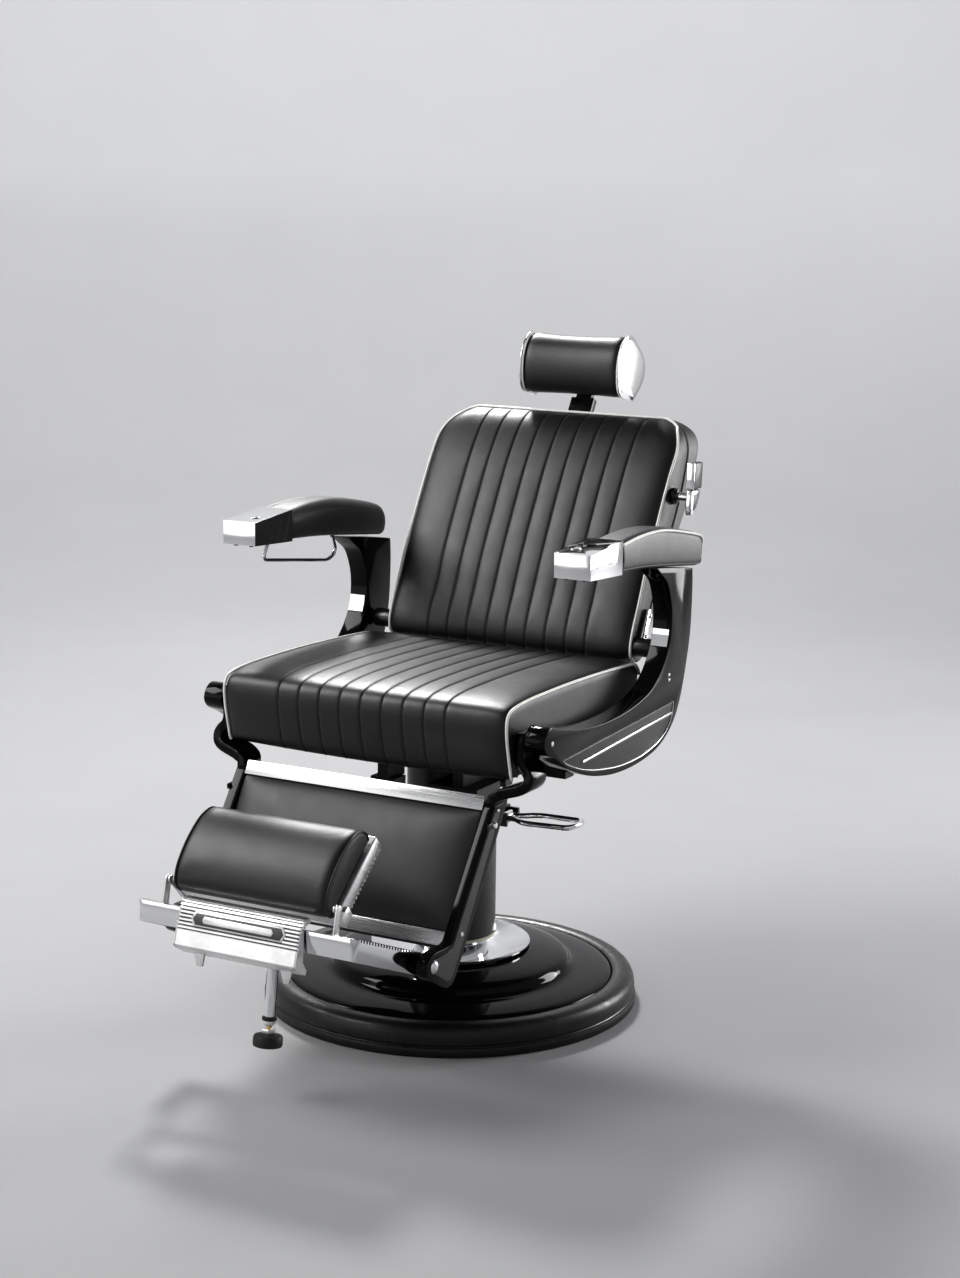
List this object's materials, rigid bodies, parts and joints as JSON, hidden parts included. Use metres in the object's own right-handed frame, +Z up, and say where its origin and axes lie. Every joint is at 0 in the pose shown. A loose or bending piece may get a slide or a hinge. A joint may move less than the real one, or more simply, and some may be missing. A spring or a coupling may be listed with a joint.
{
  "type": "hydraulic barber chair",
  "caption": "Reclining hydraulic barber chair on a round pedestal, with channelled seat and back, padded arms, adjustable headrest, calf panel and flip-over footrest.",
  "frame": {"origin": "centre of the round base, on the floor", "axes": "+Z up, the sitter faces -Y, +X towards the sitter's left hand"},
  "size_m": [0.712, 1.203, 1.142],
  "materials": {
    "base_plate": "rough black casting",
    "base_rim": "matt black rubber",
    "base_cover": "gloss black enamel",
    "chrome": "polished chrome",
    "ram": "ground steel",
    "column_cover": "satin black paint on aluminium tube",
    "column_trim": "satin off-white plastic",
    "enamel_cast": "gloss black enamel on cast aluminium",
    "frame_paint": "satin black paint",
    "inlay": "pebbled dark grey",
    "leather": "soft black leather",
    "board": "black-stained board",
    "backing": "satin black moulding",
    "alloy": "satin cast aluminium",
    "grip": "satin black rubber",
    "foot_rubber": "matt black rubber"
  },
  "bodies": {
    "base": {"base_plate": "base_plate", "base_rim": "base_rim", "base_cover": "base_cover", "dish_cover": "chrome", "pump_cylinder": "chrome"},
    "lift": {"ram": "ram", "column_cover": "column_cover", "column_trim_ring": "column_trim", "column_collar": "chrome", "pump_bracket": "enamel_cast"},
    "pump_pedal": {"pump_lever": "chrome"},
    "seat_frame": {"turret": "enamel_cast", "seat_subframe": "frame_paint", "recline_cylinder": "backing", "recline_link": "backing", "seat_pan": "board", "seat_cushion": "leather", "towel_rail": "chrome", "arm_frame_left": "enamel_cast", "arm_frame_right": "enamel_cast", "arm_inlay_left": "inlay", "arm_inlay_right": "inlay", "trim_bar_left": "chrome", "trim_bar_right": "chrome", "column_plate_left": "chrome", "column_plate_right": "chrome", "leg_pivot_bolt_left": "chrome", "leg_pivot_bolt_right": "chrome", "arm_pad_left": "leather", "arm_pad_right": "leather", "arm_cap_left": "chrome", "arm_cap_right": "chrome"},
    "backrest": {"back_cushion": "leather", "back_shell": "leather", "lever_hub": "chrome", "back_hinge_left": "chrome", "back_hinge_right": "chrome"},
    "recline_handle": {"recline_lever": "chrome", "lever_grip": "grip"},
    "headrest_bar": {"headrest_stem": "frame_paint"},
    "headrest": {"headrest_pad": "leather", "headrest_axle": "chrome", "headrest_plate_left": "chrome", "headrest_plate_right": "chrome"},
    "leg_rest": {"leg_top_strip": "chrome", "leg_bottom_strip": "alloy", "leg_board": "backing", "leg_panel": "leather", "foot_bar": "chrome", "foot_nose": "alloy", "leg_arm_left": "enamel_cast", "leg_arm_right": "enamel_cast", "toe_bolt_left": "chrome", "toe_bolt_right": "chrome"},
    "foot_step": {"tread_plate": "alloy", "foot_pad": "leather"},
    "stand": {"stand_leg": "chrome"},
    "stand_pad": {"stand_foot": "foot_rubber"}
  },
  "joints": [
    {"name": "lift_slide", "type": "slide", "parent": "base", "child": "lift", "axis": [0, 0, 1], "range_m": [-0.02, 0.13]},
    {"name": "pump_hinge", "type": "hinge", "parent": "lift", "child": "pump_pedal", "pos_m": [0.11, 0, 0.342], "axis": [0, 1, 0], "range_deg": [0, 20], "stiffness_Nm_per_rad": 4, "springref_deg": -14.32},
    {"name": "swivel", "type": "hinge", "parent": "lift", "child": "seat_frame", "pos_m": [0, 0, 0.446], "axis": [0, 0, 1], "continuous": true},
    {"name": "recline", "type": "hinge", "parent": "seat_frame", "child": "backrest", "pos_m": [0, 0.212, 0.622], "axis": [-1, 0, 0], "range_deg": [0, 45]},
    {"name": "recline_lever_hinge", "type": "hinge", "parent": "backrest", "child": "recline_handle", "pos_m": [0.27, 0.352, 0.874], "axis": [-1, 0, 0], "range_deg": [-18, 18], "stiffness_Nm_per_rad": 6},
    {"name": "headrest_slide", "type": "slide", "parent": "backrest", "child": "headrest_bar", "axis": [0, 0.521, 0.8536], "range_m": [0, 0.09]},
    {"name": "headrest_tilt", "type": "hinge", "parent": "headrest_bar", "child": "headrest", "pos_m": [0, 0.499, 1.046], "axis": [1, 0, 0], "range_deg": [-18, 18]},
    {"name": "leg_swing", "type": "hinge", "parent": "seat_frame", "child": "leg_rest", "pos_m": [0, -0.258, 0.552], "axis": [-1, 0, 0], "range_deg": [0, 54]},
    {"name": "foot_flip", "type": "hinge", "parent": "leg_rest", "child": "foot_step", "pos_m": [0, -0.622, 0.346], "axis": [1, 0, 0], "range_deg": [0, 110]},
    {"name": "stand_hinge", "type": "hinge", "parent": "leg_rest", "child": "stand", "pos_m": [0, -0.562, 0.222], "axis": [1, 0, 0], "range_deg": [-60, 15]},
    {"name": "stand_screw", "type": "slide", "parent": "stand", "child": "stand_pad", "axis": [0, -0.139, -0.9903], "range_m": [0, 0.03]}
  ],
  "couplings": [
    {"joint": "leg_swing", "follows": "recline", "ratio": 1.1}
  ]
}
